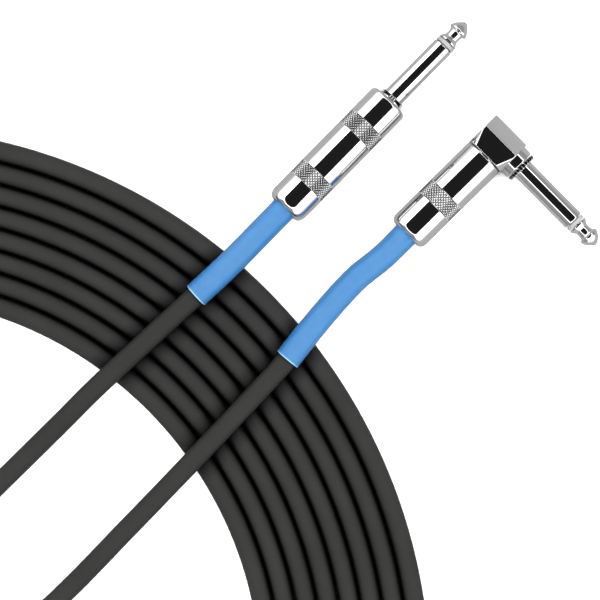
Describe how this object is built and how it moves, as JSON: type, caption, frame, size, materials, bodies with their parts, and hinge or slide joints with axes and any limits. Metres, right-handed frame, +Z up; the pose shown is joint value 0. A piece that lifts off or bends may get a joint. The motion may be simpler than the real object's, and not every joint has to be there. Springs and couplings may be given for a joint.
{
  "type": "instrument cable",
  "caption": "Coiled black instrument cable with one straight and one right-angle 6.35 mm chrome plug, blue sleeving at both ends.",
  "frame": {"origin": "on the resting plane, under the middle of the two plugs' bounding box", "axes": "+Z up from the resting plane, +X and +Y along the plane so that both plugs point along +X +Y"},
  "size_m": [0.2648, 0.2594, 0.0155],
  "materials": {
    "chrome_plate": "polished",
    "tinned_brass": "satin",
    "tinned_copper": "satin",
    "grey_insulator": "matte",
    "liner_plastic": "gloss",
    "white_core": "matte",
    "black_jacket": "matte",
    "blue_sleeving": "satin",
    "tie_fabric": "woven"
  },
  "bodies": {
    "root": {"straight_tip": "chrome_plate", "straight_tip_insulator": "grey_insulator", "straight_finger_sleeve": "chrome_plate", "straight_ground_clamp": "tinned_brass", "straight_lug_washer": "grey_insulator", "straight_tip_lug": "tinned_brass", "straight_core_insulation": "white_core", "straight_conductor": "tinned_copper", "straight_shield_tail": "tinned_copper", "straight_sleeving": "blue_sleeving", "straight_lead": "black_jacket", "angle_head": "chrome_plate", "angle_tip": "chrome_plate", "angle_tip_insulator": "grey_insulator", "angle_finger_sleeve": "chrome_plate", "angle_ground_clamp": "tinned_brass", "angle_lug_washer": "grey_insulator", "angle_tip_lug": "tinned_brass", "angle_core_insulation": "white_core", "angle_conductor": "tinned_copper", "angle_shield_tail": "tinned_copper", "angle_sleeving": "blue_sleeving", "angle_lead": "black_jacket", "cable_coil": "black_jacket", "far_tie": "tie_fabric", "near_tie": "tie_fabric"},
    "straight_liner": {"straight_liner": "liner_plastic"},
    "straight_barrel": {"straight_barrel": "chrome_plate"},
    "angle_liner": {"angle_liner": "liner_plastic"},
    "angle_barrel": {"angle_barrel": "chrome_plate"}
  },
  "joints": [
    {"name": "straight_barrel_travel", "type": "slide", "parent": "root", "child": "straight_liner", "axis": [-0.6982, -0.713, 0.0645], "range_m": [0, 0.006]},
    {"name": "straight_barrel_screw", "type": "hinge", "parent": "straight_liner", "child": "straight_barrel", "pos_m": [-0.02757, -0.00435, 0.00764], "axis": [-0.6982, -0.713, 0.0645], "range_deg": [0, 2880]},
    {"name": "angle_barrel_travel", "type": "slide", "parent": "root", "child": "angle_liner", "axis": [-0.712, -0.7022, 0], "range_m": [0, 0.006]},
    {"name": "angle_barrel_screw", "type": "hinge", "parent": "angle_liner", "child": "angle_barrel", "pos_m": [0.00056, -0.02103, 0.00645], "axis": [-0.712, -0.7022, 0], "range_deg": [0, 2880]}
  ],
  "couplings": [
    {"joint": "straight_barrel_travel", "follows": "straight_barrel_screw", "m_per_rad": 0.00011936},
    {"joint": "angle_barrel_travel", "follows": "angle_barrel_screw", "m_per_rad": 0.00011936}
  ]
}
